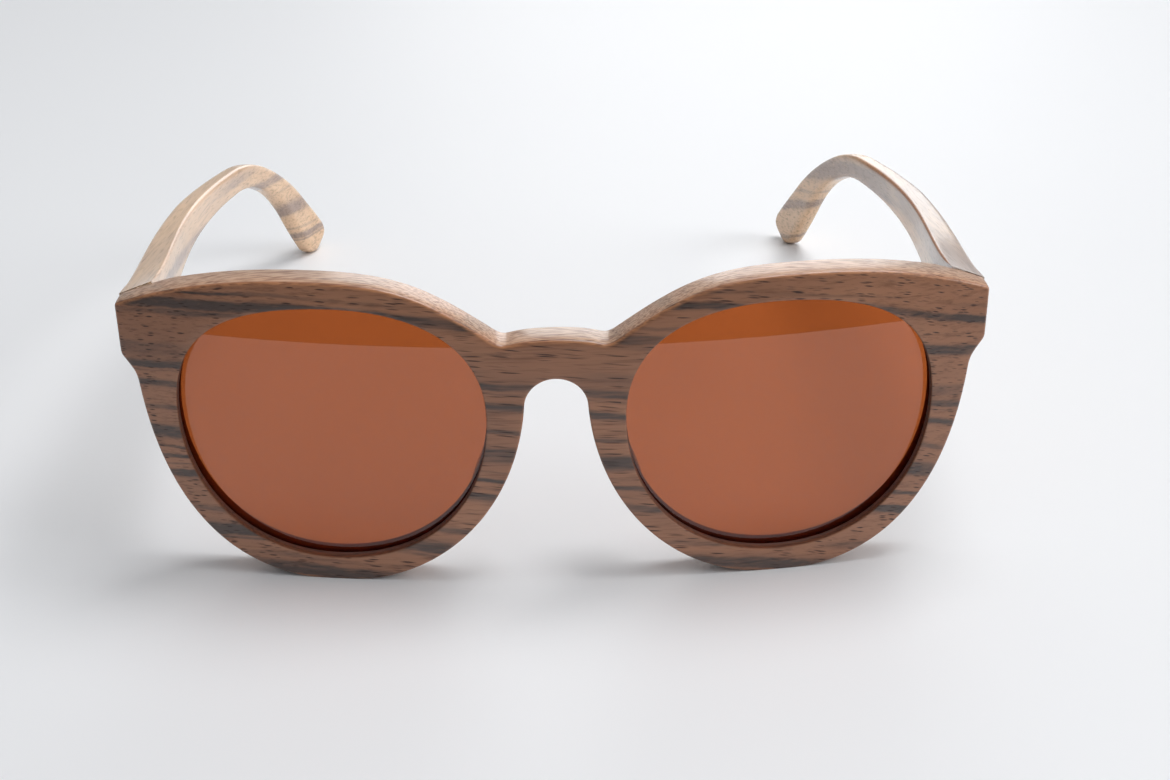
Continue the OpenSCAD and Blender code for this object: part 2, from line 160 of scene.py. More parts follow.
# Directions of the edge at its points, and the shares of a span that the handles reach
NOSE_WAY, RIM_WAY, END_WAY = np.array([0.08, -1]), np.array([0.1, 1]), np.array([0.75, 1])
BROW_WAY, BRIDGE_WAY = np.array([1, 0.7]), np.array([-1, 0.3])
ARCH_FULL, NOSE_REACH, FOOT_REACH, RIM_REACH = 0.55, 0.56, 0.7, 0.5
BROW_REACH, CREST_REACH, NOTCH_REACH, BRIDGE_REACH = 0.34, 0.46, 0.36, 0.45
# Handles of a corner's curve lie this share of the way to the corner
TO_CORNER = 2 / 3
brow_end, bridge_end = NOTCH + NOTCH_R * BROW_WAY, NOTCH + NOTCH_R * BRIDGE_WAY
brow_handle = BROW_REACH * (END_TOP[0] - CREST[0])
notch_span = CREST[0] - NOTCH[0]
sweep = END_LOW[1] - RIM_OUT[1]
nose_handles = (ARCH_SIDE, ARCH_SIDE + NOSE_REACH * ARCH_SIDE[1] * NOSE_WAY,
                FOOT - [NOSE_REACH * (FOOT[0] - ARCH_SIDE[0]), 0], FOOT)
half_edge = chain(
    level_quarter(ARCH_TOP, ARCH_SIDE, ARCH_FULL),
    bezier(*nose_handles),
    bezier(FOOT, FOOT + [FOOT_REACH * (RIM_OUT[0] - FOOT[0]), 0],
           RIM_OUT - RIM_REACH * RIM_OUT[1] * RIM_WAY, RIM_OUT),
    bezier(RIM_OUT, RIM_OUT + sweep / 3 * RIM_WAY, END_LOW - sweep / 2 * END_WAY, END_LOW),
    np.array([END_LOW, END_TOP]),
    bezier(END_TOP, END_TOP + brow_handle * np.array([-1, BROW_SLOPE]), CREST + [brow_handle, 0], CREST),
    bezier(CREST, CREST - [CREST_REACH * notch_span, 0],
           brow_end + NOTCH_REACH * notch_span * BROW_WAY, brow_end),
    bezier(brow_end, brow_end + TO_CORNER * (NOTCH - brow_end),
           bridge_end + TO_CORNER * (NOTCH - bridge_end), bridge_end),
    bezier(bridge_end, bridge_end + BRIDGE_REACH * bridge_end[0] / 2 * BRIDGE_WAY,
           BRIDGE_TOP + [BRIDGE_REACH * bridge_end[0], 0], BRIDGE_TOP),
)
print("half edge", len(half_edge), "points")

# %% [markdown]
# ## The bowed front
# The real front is sawn from a bowed board, sanded, and its edges are eased by hand.
# One ring of cross-sections round each lens opening makes it: every section is a closed profile with a lip,
# a lens groove, two faces and rounded edges, carried along the edge from the nose arch to the bridge.
# The two rings meet in the middle of the bridge. A boolean of an extruded outline would leave sharp edges.

# %% Meshes from grids
def faces_of(*arrays, flip=False):
    """One list of faces from arrays of quads and triangles, all turned over where flip is set."""
    return [f[::-1] if flip else f for a in arrays for f in a.tolist()]


def new_piece(name, points, faces, body):
    """A smooth mesh object at the origin from an array of points in metres and a list of faces."""
    mesh = bpy.data.meshes.new(name)
    mesh.from_pydata(points.tolist(), [], faces)
    mesh.polygons.foreach_set("use_smooth", np.full(len(mesh.polygons), True))
    mesh.update()
    piece = bpy.data.objects.new(name, mesh)
    bpy.context.scene.collection.objects.link(piece)
    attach(piece, body)
    print(name, len(points), "points", len(faces), "faces")
    return piece


def grid_faces(rows, cols, wrap_rows=False, wrap_cols=False):
    """Quads between the neighbouring points of a grid, wrapping round where a direction is closed."""
    r = np.arange(rows if wrap_rows else rows - 1)[:, None]
    c = np.arange(cols if wrap_cols else cols - 1)[None, :]
    r2, c2 = (r + 1) % rows, (c + 1) % cols
    quads = np.stack(np.broadcast_arrays(r * cols + c, r2 * cols + c, r2 * cols + c2, r * cols + c2), -1)
    return quads.reshape(-1, 4)


def capped(rings, hubs=None):
    """Points and faces of a tube of closed rings: quads between rings, then a fan from each end to a hub.

    Without given hubs, each is the mean of its end ring.
    """
    rows, cols = rings.shape[:2]
    if hubs is None:
        hubs = [rings[0].mean(0), rings[-1].mean(0)]
    loop = np.arange(cols)
    ahead = np.roll(loop, -1)
    last, hub = (rows - 1) * cols, np.full_like(loop, rows * cols)
    first_fan = np.stack([hub, loop, ahead], -1)
    last_fan = np.stack([hub + 1, last + ahead, last + loop], -1)
    points = np.concatenate([rings.reshape(-1, 3), hubs])
    return points, (grid_faces(rows, cols, wrap_cols=True), first_fan, last_fan)


def store(piece, name, values):
    """One number for each point, kept on the mesh for the finish to read."""
    attribute = piece.data.attributes.new(name, "FLOAT", "POINT")
    attribute.data.foreach_set("value", np.asarray(values, np.float32))


# %% Sizes of the front
BOW_R, FRONT_T, SEAT_Y, LENS_LIP, LENS_T = 320.0, 6.0, 12.1821, 2.0, 1.8
EDGE_R, TOP_EDGE_R, SEAT_EDGE_R, INNER_R = 0.4, 0.65, 0.05, 0.25
GROOVE, GROOVE_PLAY, LEAF_PROUD = 0.85, 0.09, 0.05
# The sawn top falls off towards the face by the crown, over a share of the thickness
CROWN, CROWN_SHARE = 0.28, 0.55
# The back edge gets crisp at a temple's seat: from this place outwards, and down to below the end piece
SEAT_FROM, SEAT_FADE, SEAT_BELOW = 60, 3.5, 2
# Leaf screws: place across and distance from the hinge's height on the front, depths on a temple
FRONT_SCREWS, TEMPLE_SCREWS = (68.375, 1.5), (17.157, 21.157)
# Hollow under a screw's head: its depth, the radius of its flat middle and the width of its slope
DISH_DEPTH, DISH_FLAT, DISH_SLOPE = 0.4, 0.9, 0.8
# Least wear of a corner, wear of the top beside it, and least paleness of the sawn edge, whose painted sheen
# grows towards the tops
CORNER_WORN, TOP_WORN, LEAST_SAWN_SHEEN = 0.3, 0.4, 0.2
# The rims stand on small flats that are eased over this height
FLAT_EASE = 0.12 * MM
EDGE_STEPS, EDGE_SMOOTHING, BRIDGE_STEPS, FACE_ROWS, ROUND_ROWS = 760, 6, 26, 10, 6
TOP_ROWS = (0.2, 0.3, 0.4, 0.5, 0.7)
ON_PLANE = 1e-6


def bowed(x, depth):
    """Depth y of the surface so far behind the face: a circle of the bow's radius less that depth."""
    return BOW_R - np.sqrt((BOW_R - depth) ** 2 - x ** 2)


def depth_at(x, share):
    """Depth y at a share of the thickness, between the face and the back, which the seat cuts flat."""
    face, back = bowed(x, 0), bowed(x, FRONT_T)
    return face + share * (np.minimum(back, SEAT_Y - LEAF_PROUD) - face)


# %% Outer edge of the ring
mirrored = half_edge[::-1] * [-1, 1]
whole = chain(even(half_edge, EDGE_STEPS + 1), even(mirrored, EDGE_STEPS + 1))[:-1]
whole = smoothed(whole, EDGE_SMOOTHING)
rim, rim_n = whole[:EDGE_STEPS + 1].copy(), outward(whole)[:EDGE_STEPS + 1]
rim[[0, -1], 0] = 0
rim_n[0], rim_n[-1] = (0, -1), (0, 1)
# The bridge's middle plane, where both halves meet
cut_z = np.linspace(rim[-1, 1] - TOP_EDGE_R - CROWN, rim[0, 1] + EDGE_R, BRIDGE_STEPS + 2)[1:-1]
cut = np.stack([np.zeros(BRIDGE_STEPS), cut_z], -1)
outer = np.concatenate([rim, cut])
outer_n = np.concatenate([rim_n, np.zeros_like(cut)])
ring = len(outer)
# Hands and sandpaper ease the upper edges most
upper = blend(0, 1, outer_n[:, 1])
edge_r = EDGE_R + (TOP_EDGE_R - EDGE_R) * upper
at_seat = outer[:, 1] > END_LOW[1] - SEAT_BELOW
back_r = np.where(at_seat, blend(EDGE_R, SEAT_EDGE_R, (outer[:, 0] - SEAT_FROM) / SEAT_FADE), EDGE_R)
print("ring of", ring, "sections")

# %% Opening at the same bearings
MIDDLE = np.array([OPEN_MID, 34.0])
# Sections aim higher over the nose arch and lower under the notch, so that none crosses the next one
ARCH_AIM, NOTCH_AIM, BROW_STATION = 2.6, -1.8, NOTCH + [10, 7]


def nearest(point):
    """Number of the rim's point that is nearest to a point."""
    return int(np.linalg.norm(rim - point, axis=1).argmin())


stations = [0, nearest(ARCH_SIDE), nearest(BROW_STATION), nearest(NOTCH), EDGE_STEPS, ring]
aim = np.interp(np.arange(ring), stations, [ARCH_AIM, 0, 0, NOTCH_AIM, NOTCH_AIM, ARCH_AIM])
bearing = np.unwrap(np.arctan2(outer[:, 1] + aim - MIDDLE[1], outer[:, 0] - MIDDLE[0]))
# The opening counter-clockwise, with its normals, repeated for four turns
turn = opening[:0:-1]
turn_b = np.unwrap(np.arctan2(*(turn - MIDDLE).T[::-1]))
wrap = np.concatenate([turn_b + 2 * np.pi * k for k in (-1, 0, 1, 2)])
looped = np.tile(np.concatenate([turn, outward(turn)], 1), (4, 1))
found = np.stack([np.interp(bearing, wrap, looped[:, k]) for k in range(4)], -1)
inner = found[:, :2]
inner_n = found[:, 2:] / np.linalg.norm(found[:, 2:], axis=1, keepdims=True)
print("stations of the aim", stations)

# %% Profile of a section
def crown(share):
    """How far the top of the board has fallen off at a share of the thickness: a parabola up to CROWN_SHARE.
    """
    return CROWN * upper * np.clip(1 - share / CROWN_SHARE, 0, 1) ** 2


def dish(distance):
    """Hollow in the wood under a screw's head, by the distance from its axis, so that its slot stays open."""
    return DISH_DEPTH * blend(1, 0, (distance - DISH_FLAT) / DISH_SLOPE)


def section_row(kind, offset, share):
    """One row of the ring at a share of the thickness: along the opening, the outer edge, or between."""
    if kind == "in":
        p = inner + offset * inner_n
    elif kind == "out":
        p = outer - offset[:, None] * outer_n
    else:
        rounded = edge_r + crown(0) if share == 0 else back_r
        p = (1 - offset) * (inner + INNER_R * inner_n) + offset * (outer - rounded[:, None] * outer_n)
    y = depth_at(p[:, 0], share)
    if kind == "face" and share == 1:
        y = y - dish(np.hypot(p[:, 0] - FRONT_SCREWS[0], np.abs(p[:, 1] - HINGE[2]) - FRONT_SCREWS[1]))
    return np.stack([p[:, 0], y, p[:, 1]], -1)


# Rows of (kind, offset, share of the thickness), from the groove round the section and back
quarter = np.linspace(0, np.pi / 2, ROUND_ROWS)
lip, lens_back = (LENS_LIP - GROOVE_PLAY) / FRONT_T, (LENS_LIP + LENS_T + GROOVE_PLAY) / FRONT_T
edge_in = INNER_R / FRONT_T
across = np.linspace(0, 1, FACE_ROWS)[1:-1]
rows = [("in", GROOVE, lip), ("in", 0, lip)]
rows += [("in", INNER_R * (1 - math.cos(a)), edge_in * (1 - math.sin(a))) for a in quarter]
rows += [("face", w, 0) for w in across]
for a in quarter:
    turned = edge_r / FRONT_T * (1 - math.cos(a))
    rows += [("out", edge_r * (1 - math.sin(a)) + crown(turned), turned)]
rows += [("out", crown(share), share) for share in TOP_ROWS]
rows += [("out", back_r * (1 - math.cos(a)), 1 - back_r / FRONT_T * (1 - math.sin(a))) for a in quarter]
rows += [("face", w, 1) for w in across[::-1]]
rows += [("in", INNER_R * (1 - math.sin(a)), 1 - edge_in * (1 - math.cos(a))) for a in quarter]
rows += [("in", 0, lens_back), ("in", GROOVE, lens_back)]
n_rows = len(rows)
out_rows = [i for i, row in enumerate(rows) if row[0] == "out"]
first_out, last_out = out_rows[0], out_rows[-1]
print("profile of", n_rows, "rows")

# %% Two halves joined in the middle of the bridge
half = np.stack([section_row(*row) for row in rows], 1)
faces = grid_faces(ring, n_rows, wrap_rows=True, wrap_cols=True)
# The bridge's middle has faces but no edge: its rounded rows fold onto the face and are left out
section_no, row_no = np.divmod(np.arange(ring * n_rows), n_rows)
low_row, high_row = row_no[faces].min(1), row_no[faces].max(1)
is_edge = (low_row >= first_out) & (high_row <= last_out) & (high_row - low_row == 1)
at_cut = (section_no[faces] > EDGE_STEPS).any(1)
faces = faces[~(is_edge & at_cut)]
flat = half.reshape(-1, 3)
flat[np.abs(flat[:, 0]) < ON_PLANE, 0] = 0
mid_plane = flat[:, 0] == 0
other = np.arange(len(flat)) + len(flat)
other[mid_plane] = np.flatnonzero(mid_plane)
points = np.concatenate([flat, flat * [-1, 1, 1]])
faces = np.concatenate([faces, other[faces][:, ::-1]])
used, faces = np.unique(faces, return_inverse=True)
points = on_table(points[used])
points[:, 2] = (points[:, 2] + np.sqrt(points[:, 2] ** 2 + FLAT_EASE ** 2)) / 2
front = new_piece("front", points, faces_of(faces.reshape(-1, 4), flip=True), "front")
# Masks for the finish: sanded corners; the sawn edge of the board, paler most on its top as painted sheen;
# and the wall round each lens, painted dark as shade
eased, sawn_sheen, shaded_wall = np.zeros((3, ring, n_rows))
top_start = first_out + ROUND_ROWS
eased[:, first_out:top_start] = np.outer(CORNER_WORN + (1 - CORNER_WORN) * upper, np.sin(2 * quarter) ** 2)
eased[:, top_start] = TOP_WORN * upper
# Painted sheen: the sawn edge gets a paler tone, most where it faces up, as the tops look where they mirror
# the light
sawn_sheen[:, top_start - 1:last_out] = (LEAST_SAWN_SHEEN + (1 - LEAST_SAWN_SHEEN) * upper)[:, None]
# Painted shade: the wall round each lens, from the groove over its rounded lips, gets a dark tone where it
# lies in shade
shaded_wall[:, :2], shaded_wall[:, -2 - ROUND_ROWS:] = 1, 1
shaded_wall[:, 2:2 + ROUND_ROWS] = np.cos(quarter) ** 2
for name, mask in (("eased", eased), ("sawn_sheen", sawn_sheen), ("shaded_wall", shaded_wall)):
    store(front, name, np.tile(mask.ravel(), 2)[used])
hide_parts("front_frame")

# %% [markdown]
# ## The lenses
# A lens is cut from a bowed sheet, ground to the opening plus the groove, and snapped in from behind.
# A grid of rings shrinking to the middle gives both faces, and the outermost rings join them at the rim.
# It is closed, because tinted plastic needs a front and a back surface to bend and tint the light.

# %% Two lenses
LENS_POINTS, LENS_SMOOTHING, LENS_RINGS, LENS_GROW = 240, 2, 14, 0.8
# Sizes of the rings: two next to the ground edge, the first of the even steps, and the last by the middle
RIM_RINGS, FIRST_RING, LAST_RING = (1, 0.998), 0.98, 1e-4


def lens_surface():
    """Rings of the grown opening, scaled about its middle: out over the front face and in over the back."""
    loop = smoothed(even(opening, LENS_POINTS + 1)[:-1], LENS_SMOOTHING)
    # The opening runs clockwise, so its normals point inwards
    loop = loop - LENS_GROW * outward(loop)
    shrink = np.concatenate([RIM_RINGS, np.linspace(FIRST_RING, 0, LENS_RINGS)[:-1], [LAST_RING]])
    centre = np.array([OPEN_MID, (OPEN_LOW + OPEN_TOP) / 2])
    discs = centre + shrink[:, None, None] * (loop - centre)
    x, z = discs[..., 0], discs[..., 1]
    front_face, back_face = (np.stack([x, bowed(x, d), z], -1) for d in (LENS_LIP, LENS_LIP + LENS_T))
    return np.concatenate([front_face[::-1], back_face])


lenses = {}
for side, word in SIDES:
    rings = lens_surface() * [side, 1, 1]
    lens_points, lens_faces = capped(rings)
    shell = faces_of(*lens_faces, flip=side > 0)
    lens = new_piece("lens_shape_" + word, on_table(lens_points), shell, "front")
    # The ground edge is the middle row of quads
    edge_row, edge_length = len(rings) // 2 - 1, rings.shape[1]
    ground_edge = np.zeros(len(shell), int)
    ground_edge[edge_row * edge_length:(edge_row + 1) * edge_length] = 1
    lens.data.polygons.foreach_set("material_index", ground_edge)
    lens.data.polygons.foreach_set("use_smooth", ground_edge == 0)
    lens.data.update()
    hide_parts("lens_" + word)
    lenses[word] = lens

# %% [markdown]
# ## The temples
# A temple is band-sawn from a board: straight, then bent down behind the ear, and thinnest at its tip.
# Rounded four-sided sections carried along its middle line give it, with the top following the brow's slope.
# The sections read the outer and inner curve of the plan, so the temple also bows sideways.

# %% Middle line and plan of a temple
TEMPLE_L, DROP_L, DROP, BEND_R, SLOPE = 152.0, 34.0, math.radians(47), 42.0, math.radians(3.5)
END_H, BEND_H, TIP_H, TEMPLE_T, TIP_T, FAIR_L = 9.1, 5.2, 8.34, 5.6, 3.4, 45.0
TIP_IN, TEMPLE_BOW, PLAN_STEPS = 13.0, 13.0, 33
# Shares of its run at which the plan's handles lie, and how far the plan runs on past the tip
PLAN_LEAVE, PLAN_MEET, PLAN_PAST = 0.21, 0.57, 1
SEAT_GAP = 0.1
TEMPLE_Y, HINGE_Z = SEAT_Y + SEAT_GAP, HINGE[2]
bend_l = BEND_R * DROP
shaft_l = TEMPLE_L - DROP_L - bend_l / 2
bend_s = shaft_l + bend_l / 2
tip_r = TIP_H / 2
round_s = TEMPLE_L - tip_r


def middle_line(s):
    """Middle line and slope at a length s: a straight shaft, an arc of the bend's radius, a straight end."""
    a = SLOPE + np.clip((s - shaft_l) / BEND_R, 0, DROP)
    after = np.maximum(s - shaft_l - bend_l, 0)
    y = TEMPLE_Y + np.minimum(s, shaft_l) * math.cos(SLOPE) + BEND_R * (np.sin(a) - math.sin(SLOPE))
    z = HINGE_Z - np.minimum(s, shaft_l) * math.sin(SLOPE) + BEND_R * (np.cos(a) - math.cos(SLOPE))
    return y + after * np.cos(a), z - after * np.sin(a), a


plan_end = middle_line(np.array([TEMPLE_L]))[0][0] + PLAN_PAST
run = plan_end - TEMPLE_Y
plan = bezier((END_TOP[0], TEMPLE_Y), (END_TOP[0], TEMPLE_Y + PLAN_LEAVE * run),
              (END_TOP[0] + TEMPLE_BOW, TEMPLE_Y + PLAN_MEET * run),
              (END_TOP[0] - TIP_IN, plan_end), PLAN_STEPS)
along = np.diff(plan, axis=0, prepend=plan[:1] - [[0, 1]])
along /= np.linalg.norm(along, axis=1, keepdims=True)
thickness = blend(TEMPLE_T, TIP_T, np.linspace(0, 1, PLAN_STEPS))[:, None]
plan_in = plan + thickness * np.stack([-along[:, 1], along[:, 0]], -1)
plan, plan_in = (np.concatenate([c, c[-1:] + TEMPLE_T * along[-1:]]) for c in (plan, plan_in))
print("temple plan over", round(run, 1), "mm")

# %% Sections of a temple
BUTT_R, SECTION_R, TIP_SECTION_R, BUTT_FADE, TIP_EASE = 0.04, 0.7, 1.5, 8, 2.4
# A radius takes at most these shares of the thickness and the half height, and the tip keeps this least width
MOST_OF_T, MOST_OF_H, TIP_LEAST = 0.42, 0.6, 0.05
BUTT_PLAY, BUTT_SPAN, INNER_FACE = 0.04, 1, 0.9
BUTT_ROWS, SHAFT_ROWS, TIP_ROWS, SIDE_POINTS, CORNER_POINTS = 9, 190, 22, 7, 7
# Rows to which the top's inner corner is worn, rows over which that fades, and how worn each temple is
WORN_ROWS, WORN_FADE, WORN = 120, 40, {"left": 1, "right": 0.4}
NO_LENGTH = 1e-9


def unit(vectors):
    """Vectors divided by their lengths."""
    return vectors / np.maximum(np.linalg.norm(vectors, axis=-1, keepdims=True), NO_LENGTH)


def rounded_sections(corners, radius):
    """Closed sections from four corners: each is a curve between points one radius along its edges."""
    t = np.linspace(0, 1, CORNER_POINTS)[None, :, None]
    w = np.linspace(0, 1, SIDE_POINTS + 2)[1:-1][None, :, None]
    r = radius[:, None]
    parts = []
    for k in range(4):
        c, before, after = corners[:, k], corners[:, k - 1], corners[:, (k + 1) % 4]
        a, b = c + r * unit(before - c), c + r * unit(after - c)
        parts.append((1 - t) ** 2 * a[:, None] + 2 * t * (1 - t) * c[:, None] + t ** 2 * b[:, None])
        side_end = after + r * unit(c - after)
        parts.append((1 - w) * b[:, None] + w * side_end[:, None])
    return np.concatenate(parts, 1)


def temple_surface():
    """Sections (inwards, up) at lengths along the middle line, set on it and between the plan's two faces."""
    s = np.concatenate([np.linspace(-BUTT_SPAN, BUTT_SPAN, BUTT_ROWS)[:-1],
                        np.linspace(BUTT_SPAN, round_s, SHAFT_ROWS),
                        round_s + tip_r * np.sin(np.linspace(0, np.pi / 2, TIP_ROWS)[1:])])
    y, z, a = middle_line(s)
    rounding = np.sqrt(np.clip(1 - (np.maximum(s - round_s, 0) / tip_r) ** 2, 0, 1))
    half_h = rounding / 2 * np.where(s < bend_s, blend(END_H, BEND_H, s / bend_s),
                                     blend(BEND_H, TIP_H, (s - bend_s) / (round_s - bend_s)))
    top = half_h + np.where(s < FAIR_L, BROW_SLOPE * TEMPLE_T * (1 - s / FAIR_L) ** 2, 0)

    def plan_x(up, curve):
        """Place across of one of the plan's curves, at a height over the middle line."""
        return np.interp(y + up * np.sin(a), curve[:, 1], curve[:, 0])

    def under_brow(x):
        """Height of the top, kept under the plane that carries the brow's slope on along the temple."""
        rise = END_TOP[1] - z - BROW_SLOPE / math.cos(SLOPE) * (x - END_TOP[0])
        rise = rise - math.tan(SLOPE) * (y - TEMPLE_Y)
        return np.minimum(top, rise / (np.cos(a) + math.tan(SLOPE) * np.sin(a)))

    thick = plan_x(0 * s, plan) - plan_x(0 * s, plan_in)
    top_out, top_in = under_brow(plan_x(top, plan)), under_brow(plan_x(top, plan_in))
    corners = np.stack([np.stack(c, -1) for c in
                        ((0 * s, top_out), (thick, top_in), (thick, -half_h), (0 * s, -half_h))], 1)
    radius = np.where(s < BUTT_FADE, blend(BUTT_R, SECTION_R, s / BUTT_FADE),
                      blend(SECTION_R, TIP_SECTION_R, (s - BUTT_FADE) / (TEMPLE_L - BUTT_FADE)))
    radius = np.minimum(radius, np.minimum(MOST_OF_T * thick, MOST_OF_H * half_h))
    sections = rounded_sections(corners, radius)
    thick = thick[:, None]
    past = np.maximum(s - TEMPLE_L + TIP_EASE, 0) / TIP_EASE
    ease = np.sqrt(np.clip(1 - past ** 2, TIP_LEAST ** 2, 1))[:, None]
    inwards = thick / 2 + (sections[..., 0] - thick / 2) * ease
    up = sections[..., 1]
    py = y[:, None] + up * np.sin(a)[:, None]
    pz = z[:, None] + up * np.cos(a)[:, None]
    out_x, in_x = (np.interp(py, curve[:, 1], curve[:, 0]) for curve in (plan, plan_in))
    px = out_x - inwards / thick * (out_x - in_x - LEAF_PROUD)
    for depth in TEMPLE_SCREWS:
        px = px + np.where(inwards > INNER_FACE * thick, dish(np.hypot(py - depth, pz - HINGE_Z)), 0)
    return np.stack([px, np.maximum(py, SEAT_Y + BUTT_PLAY), pz], -1)


temples = {}
for side, word in SIDES:
    grid = temple_surface() * [side, 1, 1]
    temple_points, temple_faces = capped(grid)
    temple_points = on_table(temple_points)
    temple_points[:, 2] = np.maximum(temple_points[:, 2], 0)
    shell = faces_of(*temple_faces, flip=side < 0)
    temple = new_piece("temple_shape_" + word, temple_points, shell, "temple_" + word)
    # Sanded inner corner of the top, from the hinge to the bend
    worn_corner = np.zeros(grid.shape[:2])
    corner = slice(CORNER_POINTS + SIDE_POINTS, 2 * CORNER_POINTS + SIDE_POINTS)
    fading = WORN[word] * blend(1, 0, (np.arange(len(grid)) - WORN_ROWS) / WORN_FADE)[:, None]
    worn_corner[:, corner] = fading * np.sin(np.linspace(0, np.pi, CORNER_POINTS)) ** 2
    store(temple, "eased", np.append(worn_corner.ravel(), [0, 0]))
    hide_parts("temple_" + word)
    temples[word] = temple

# %% [markdown]
# ## The nose pads
# Two low pads of the same wood are glued to the back of the rims, beside the nose.
# Each is a lens-shaped footprint that follows the rim, with a domed face. Rings of the footprint
# that shrink to its middle carry the dome, and a flat fan closes it against the back of the front.

# %% Two nose pads
PAD_W, PAD_H, PAD_DOME_R, PAD_INSET, PAD_GLUE = 4.2, 4.0, 9.0, 0.3, 0.05
# Shares of the rim's nose curve between which a pad lies
PAD_FROM, PAD_TO = 0.1, 0.42
PAD_POINTS, PAD_RINGS, NOSE_STEPS = 72, 12, 2001


def pad_rib(angle, side):
    """Footprint of a pad: points along the nose curve, moved into the wood by a width that is a sine."""
    t = PAD_FROM + (PAD_TO - PAD_FROM) * (1 - np.cos(angle)) / 2
    shares = np.linspace(0, 1, NOSE_STEPS)
    nose = bezier(*nose_handles, NOSE_STEPS)
    at, way = (np.stack([np.interp(t, shares, values[:, k]) for k in (0, 1)], -1)
               for values in (nose, np.gradient(nose, axis=0)))
    normal = np.stack([-way[:, 1], way[:, 0]], -1) / np.linalg.norm(way, axis=1, keepdims=True)
    return at + (PAD_INSET + PAD_W / 2 * (1 + side * np.sin(angle)))[:, None] * normal


def pad_surface():
    """Rings of the footprint from its glued edge up over a dome, part of a ball, and the two end hubs."""
    angle = np.linspace(0, 2 * np.pi, PAD_POINTS, endpoint=False)
    edge = pad_rib(np.where(angle <= np.pi, angle, 2 * np.pi - angle), np.where(angle <= np.pi, 1, -1))
    hub = pad_rib(np.array([np.pi / 2]), np.array([0]))[0]
    shrink = np.cos(np.linspace(0, np.pi / 2, PAD_RINGS + 1)[:-1])
    top = hub + shrink[:, None, None] * (edge - hub)
    base = np.concatenate([[edge], top])
    x, z = base[..., 0], base[..., 1]
    back, hub_back = bowed(x, FRONT_T) + PAD_GLUE, bowed(hub[0], FRONT_T)
    ball = PAD_DOME_R ** 2 - (x - hub[0]) ** 2 - (z - hub[1]) ** 2
    dome = hub_back + PAD_H - PAD_DOME_R + np.sqrt(np.maximum(ball, 0))
    y = np.maximum(dome, back)
    y[0] = back[0]
    hubs = np.array([[hub[0], hub_back + height, hub[1]] for height in (PAD_GLUE, PAD_H)])
    return np.stack([x, y, z], -1), hubs


pads = {}
for side, word in SIDES:
    pad_points, pad_faces = capped(*pad_surface())
    pad_points = on_table(pad_points * [side, 1, 1])
    shell = faces_of(*pad_faces, flip=side > 0)
    pads[word] = new_piece("nose_pad_shape_" + word, pad_points, shell, "front")
    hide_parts("nose_pad_" + word)

# %% [markdown]
# ## Striped wood
# The wood is brown with soft grey-brown stripes, fine fibres and many short dark pores along the grain.
# A picture of wood would have to be unwrapped. Noise that is stretched along the grain is solid instead:
# it runs through the piece, so a stripe on a face goes on over the edge as it does in real wood.
# One node group holds the pattern, and each material turns it along the grain of its own piece.

# %% Helpers for node trees
class Nodes:
    """Short helpers for one node tree. Where they take a value, it is a number, a tuple or another socket."""

    def __init__(self, tree):
        self.tree = tree

    def add(self, kind, **settings):
        """A new node with its settings."""
        node = self.tree.nodes.new(kind)
        for key, value in settings.items():
            setattr(node, key, value)
        return node

    def feed(self, socket, value):
        """Links another socket to a socket, or sets its number, vector or colour."""
        if isinstance(value, bpy.types.NodeSocket):
            self.tree.links.new(value, socket)
        elif socket.type == "RGBA":
            socket.default_value = (*value, 1)
        else:
            socket.default_value = value

    def fill(self, inputs, values):
        """Feeds the sockets of one node by their names."""
        for name, value in values.items():
            self.feed(inputs[name], value)

    def math(self, operation, a, b=None, c=None, clamp=False):
        """Result of a Math node on up to three values."""
        node = self.add("ShaderNodeMath", operation=operation, use_clamp=clamp)
        for socket, value in zip(node.inputs, (a, b, c)):
            if value is not None:
                self.feed(socket, value)
        return node.outputs[0]

    def mix(self, factor, a, b, blend_type="MIX"):
        """Colour mixed from a to b by a factor."""
        node = self.add("ShaderNodeMix", data_type="RGBA", blend_type=blend_type)
        for socket, value in zip((node.inputs[0], node.inputs[6], node.inputs[7]), (factor, a, b)):
            self.feed(socket, value)
        return node.outputs[2]

    def ramp(self, factor, *pairs):
        """Colour of a ramp at a factor, from pairs of a place and a colour or grey."""
        node = self.add("ShaderNodeValToRGB")
        self.feed(node.inputs["Fac"], factor)
        elements = node.color_ramp.elements
        while len(elements) < len(pairs):
            elements.new(1)
        for element, (at, colour) in zip(elements, pairs):
            element.position = at
            element.color = (*colour, 1) if isinstance(colour, tuple) else (colour, colour, colour, 1)
        return node.outputs["Color"]

    def stretched(self, vector, cells):
        """A vector times a number of cells for each metre, per axis."""
        node = self.add("ShaderNodeVectorMath", operation="MULTIPLY")
        self.feed(node.inputs[0], vector)
        self.feed(node.inputs[1], cells)
        return node.outputs[0]

    def noise(self, vector, cells, detail=2, roughness=0.5):
        """Noise on a stretched vector, with its octaves and their roughness."""
        node = self.add("ShaderNodeTexNoise")
        self.fill(node.inputs, {"Vector": self.stretched(vector, cells), "Scale": 1,
                                "Detail": detail, "Roughness": roughness})
        return node.outputs["Fac"]

    def spot(self):
        """Object coordinates of the place that is shaded."""
        return self.add("ShaderNodeTexCoord").outputs["Object"]

    def bump(self, strength, distance, height):
        """Normal of a Bump node."""
        node = self.add("ShaderNodeBump")
        self.fill(node.inputs, {"Strength": strength, "Distance": distance, "Height": height})
        return node.outputs[0]


# %% Values of the grain
# Noises: cells for each metre along the grain and across it twice, octaves, roughness
NOISES = {
    "wave": ((22, 40, 55), 2, 0.5),
    "ripple": ((130, 420, 420), 4, 0.6),
    "presence": ((24, 60, 60), 2, 0.5),
    "patch": ((45, 200, 200), 3, 0.5),
    "streak": ((140, 2400, 2400), 3, 0.6),
    "fibre": ((70, 1700, 1700), 4, 0.62),
    "cloud": ((30, 90, 90), 3, 0.5),
}
